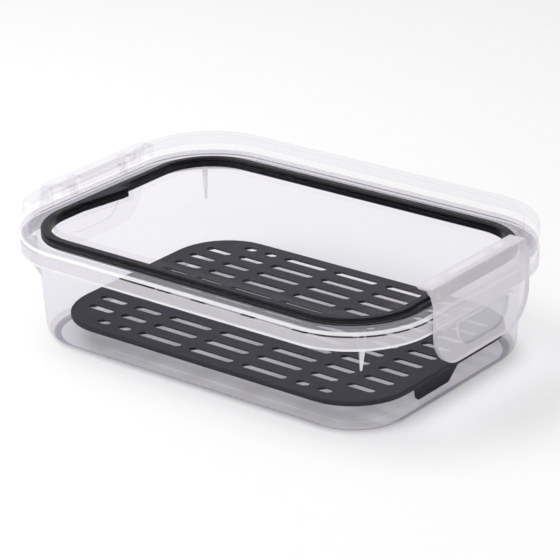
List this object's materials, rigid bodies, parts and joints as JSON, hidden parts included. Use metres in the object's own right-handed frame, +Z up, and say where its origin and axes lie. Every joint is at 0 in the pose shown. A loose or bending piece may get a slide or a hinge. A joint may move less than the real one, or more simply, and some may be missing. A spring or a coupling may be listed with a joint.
{
  "type": "food storage container",
  "caption": "Clear lidded food container with a black seal, a latch at each short end, a raised stacking collar and a slotted drain tray.",
  "frame": {"origin": "centre of the underside, on the surface that the container stands on", "axes": "+X along the container towards its right-hand latch, +Y towards the back (the side with the full stacking collar), +Z up"},
  "size_m": [0.2464, 0.165, 0.0692],
  "materials": {
    "clear_tub": "clear moulded plastic, polished",
    "clear_lid": "clear moulded plastic, polished",
    "latch_milky": "milky translucent plastic, satin",
    "seal_rubber": "black silicone rubber, satin",
    "tray_black": "charcoal moulded plastic, fine matt"
  },
  "bodies": {
    "container": {"tub": "clear_tub", "drain_tray": "tray_black"},
    "cover": {"lid": "clear_lid", "lid_seal": "seal_rubber"},
    "right_latch": {"latch_right": "latch_milky"},
    "left_latch": {"latch_left": "latch_milky"}
  },
  "joints": [
    {"name": "lid_lift", "type": "slide", "parent": "container", "child": "cover", "axis": [0, 0, 1], "range_m": [0, 0.031]},
    {"name": "latch_right_hinge", "type": "hinge", "parent": "cover", "child": "right_latch", "pos_m": [0.1162, 0, 0.0654], "axis": [0, -1, 0], "range_deg": [0, 100]},
    {"name": "latch_left_hinge", "type": "hinge", "parent": "cover", "child": "left_latch", "pos_m": [-0.1162, 0, 0.0654], "axis": [0, 1, 0], "range_deg": [0, 100]}
  ],
  "couplings": [
    {"joint": "latch_right_hinge", "follows": "lid_lift", "rad_per_m": 56.3},
    {"joint": "latch_left_hinge", "follows": "lid_lift", "rad_per_m": 56.3}
  ]
}
